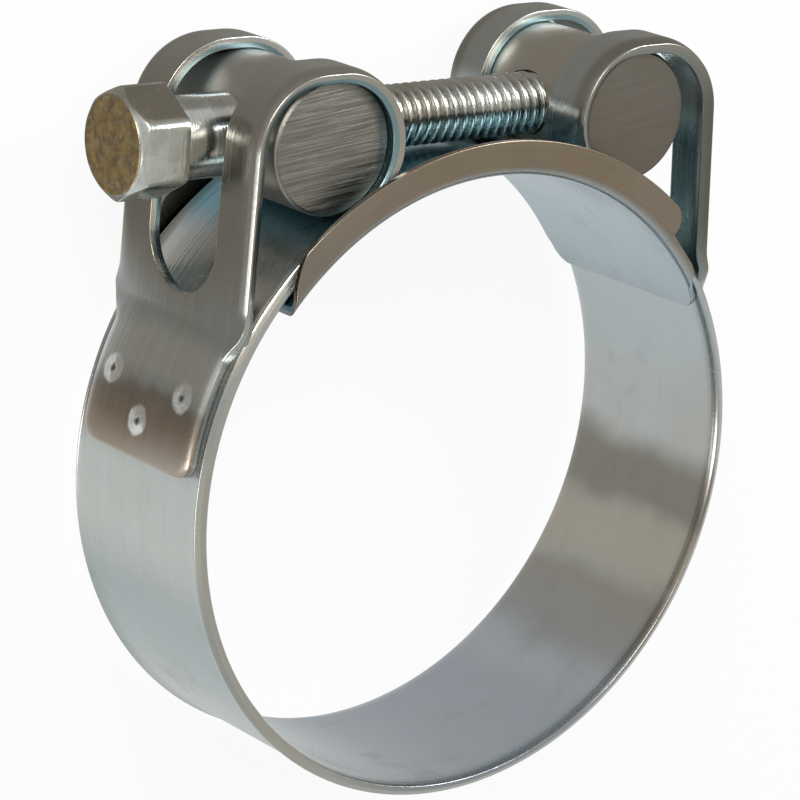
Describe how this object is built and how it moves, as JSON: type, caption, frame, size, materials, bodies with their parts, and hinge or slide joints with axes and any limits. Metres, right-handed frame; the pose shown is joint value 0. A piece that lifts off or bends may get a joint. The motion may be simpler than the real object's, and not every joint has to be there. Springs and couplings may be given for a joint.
{
  "type": "bolt hose clamp",
  "caption": "Heavy-duty hose clamp: a rolled-edge steel band with two looped ends, cross barrels, a bridge plate over the gap and a hexagon bolt with a spacer tube.",
  "frame": {"origin": "centre of the hose, half way across the band", "axes": "+Z along the hose, out of the side the picture looks into; +Y towards the bolt; +X along the bolt, from its head to its tip"},
  "size_m": [0.0894, 0.0957, 0.0312],
  "materials": {
    "band_steel": "zinc-plated strip, dull, with faint cloudy colour",
    "bridge_steel": "zinc-plated strip, slightly tan",
    "barrel_steel": "sawn and plated bar, grey-brown",
    "spacer_steel": "bright plated tube",
    "bolt_steel": "plated, with a yellowish passivated film"
  },
  "bodies": {
    "clamp": {"band": "band_steel", "bridge": "bridge_steel", "plain_barrel": "barrel_steel", "threaded_barrel": "barrel_steel"},
    "spacer": {"spacer": "spacer_steel"},
    "bolt": {"bolt": "bolt_steel"}
  },
  "joints": [
    {"name": "bolt_travel", "type": "slide", "parent": "clamp", "child": "spacer", "axis": [-1, 0, 0], "range_m": [0, 0.01975]},
    {"name": "bolt_spin", "type": "hinge", "parent": "spacer", "child": "bolt", "pos_m": [-0.04, 0.04402, 0], "axis": [-1, 0, 0], "range_deg": [0, 5040]}
  ],
  "couplings": [
    {"joint": "bolt_spin", "follows": "bolt_travel", "rad_per_m": 4452.7}
  ]
}
